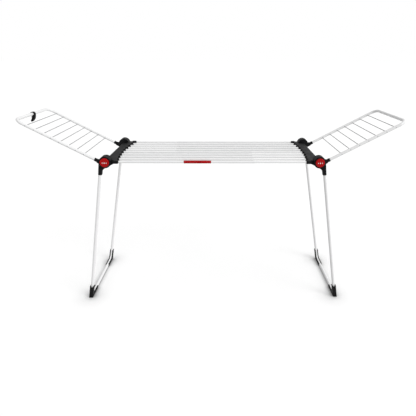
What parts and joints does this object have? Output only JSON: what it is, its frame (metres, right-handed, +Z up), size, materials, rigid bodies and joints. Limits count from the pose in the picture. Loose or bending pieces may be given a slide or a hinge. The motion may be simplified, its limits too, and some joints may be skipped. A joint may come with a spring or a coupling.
{
  "type": "clothes drying rack",
  "caption": "Free-standing winged clothes airer with a telescopic table of rods, two wired wings that fold over it and two folding leg frames.",
  "frame": {"origin": "on the floor, under the middle of the whole length and of the depth", "axes": "+X along the table from the left end to the right, +Y from front to rear, +Z up"},
  "size_m": [2.2748, 0.546, 1.2026],
  "materials": {
    "white_coated_steel": "smooth white epoxy powder coat on steel tube and wire",
    "grey_wire": "grey coated steel wire",
    "black_plastic": "fine satin moulded plastic",
    "red_plastic": "smooth red moulded plastic",
    "pin_steel": "turned steel",
    "glide_plastic": "natural low-friction plastic"
  },
  "bodies": {
    "left_end": {"left_crossbar": "black_plastic", "left_hinge_pins": "pin_steel", "left_hub_caps": "red_plastic", "left_tube_glides": "glide_plastic", "grip_sleeve": "red_plastic", "outer_tube_1": "white_coated_steel", "outer_tube_2": "white_coated_steel", "outer_tube_3": "white_coated_steel", "outer_tube_4": "white_coated_steel", "outer_tube_5": "white_coated_steel", "inner_tube_6": "white_coated_steel", "inner_tube_7": "white_coated_steel", "inner_tube_8": "white_coated_steel", "inner_tube_9": "white_coated_steel", "inner_tube_10": "white_coated_steel"},
    "right_end": {"right_crossbar": "black_plastic", "right_hinge_pins": "pin_steel", "right_hub_caps": "red_plastic", "right_tube_glides": "glide_plastic", "inner_tube_1": "white_coated_steel", "inner_tube_2": "white_coated_steel", "inner_tube_3": "white_coated_steel", "inner_tube_4": "white_coated_steel", "inner_tube_5": "white_coated_steel", "outer_tube_6": "white_coated_steel", "outer_tube_7": "white_coated_steel", "outer_tube_8": "white_coated_steel", "outer_tube_9": "white_coated_steel", "outer_tube_10": "white_coated_steel"},
    "left_wing": {"left_wing_frame": "white_coated_steel", "left_wing_front_socket": "black_plastic", "left_wing_rear_socket": "black_plastic", "left_wing_wire_1": "grey_wire", "left_wing_wire_2": "grey_wire", "left_wing_wire_3": "grey_wire", "left_wing_wire_4": "grey_wire", "left_wing_wire_5": "grey_wire", "left_wing_wire_6": "grey_wire", "left_wing_wire_7": "grey_wire", "left_wing_wire_8": "grey_wire"},
    "right_wing": {"right_wing_frame": "white_coated_steel", "right_wing_front_socket": "black_plastic", "right_wing_rear_socket": "black_plastic", "right_wing_wire_1": "grey_wire", "right_wing_wire_2": "grey_wire", "right_wing_wire_3": "grey_wire", "right_wing_wire_4": "grey_wire", "right_wing_wire_5": "grey_wire", "right_wing_wire_6": "grey_wire", "right_wing_wire_7": "grey_wire"},
    "left_leg": {"left_leg_frame": "white_coated_steel", "left_leg_front_socket": "black_plastic", "left_leg_rear_socket": "black_plastic", "left_feet": "black_plastic"},
    "right_leg": {"right_leg_frame": "white_coated_steel", "right_leg_front_socket": "black_plastic", "right_leg_rear_socket": "black_plastic", "right_feet": "black_plastic"},
    "hook": {"wing_hook": "black_plastic"}
  },
  "joints": [
    {"name": "table_extend", "type": "slide", "parent": "left_end", "child": "right_end", "axis": [1, 0, 0], "range_m": [-0.3, 0.34]},
    {"name": "left_wing_fold", "type": "hinge", "parent": "left_end", "child": "left_wing", "pos_m": [-0.62736, 0, 0.95], "axis": [0, 1, 0], "range_deg": [0, 151]},
    {"name": "right_wing_fold", "type": "hinge", "parent": "right_end", "child": "right_wing", "pos_m": [0.63664, 0, 0.95], "axis": [0, -1, 0], "range_deg": [0, 148]},
    {"name": "left_leg_fold", "type": "hinge", "parent": "left_end", "child": "left_leg", "pos_m": [-0.62736, 0, 0.95], "axis": [0, -1, 0], "range_deg": [0, 100]},
    {"name": "right_leg_fold", "type": "hinge", "parent": "right_end", "child": "right_leg", "pos_m": [0.63664, 0, 0.95], "axis": [0, 1, 0], "range_deg": [0, 93]},
    {"name": "hook_swing", "type": "hinge", "parent": "left_wing", "child": "hook", "pos_m": [-1.123, 0, 1.18962], "axis": [0, 1, 0], "range_deg": [0, 110]}
  ]
}
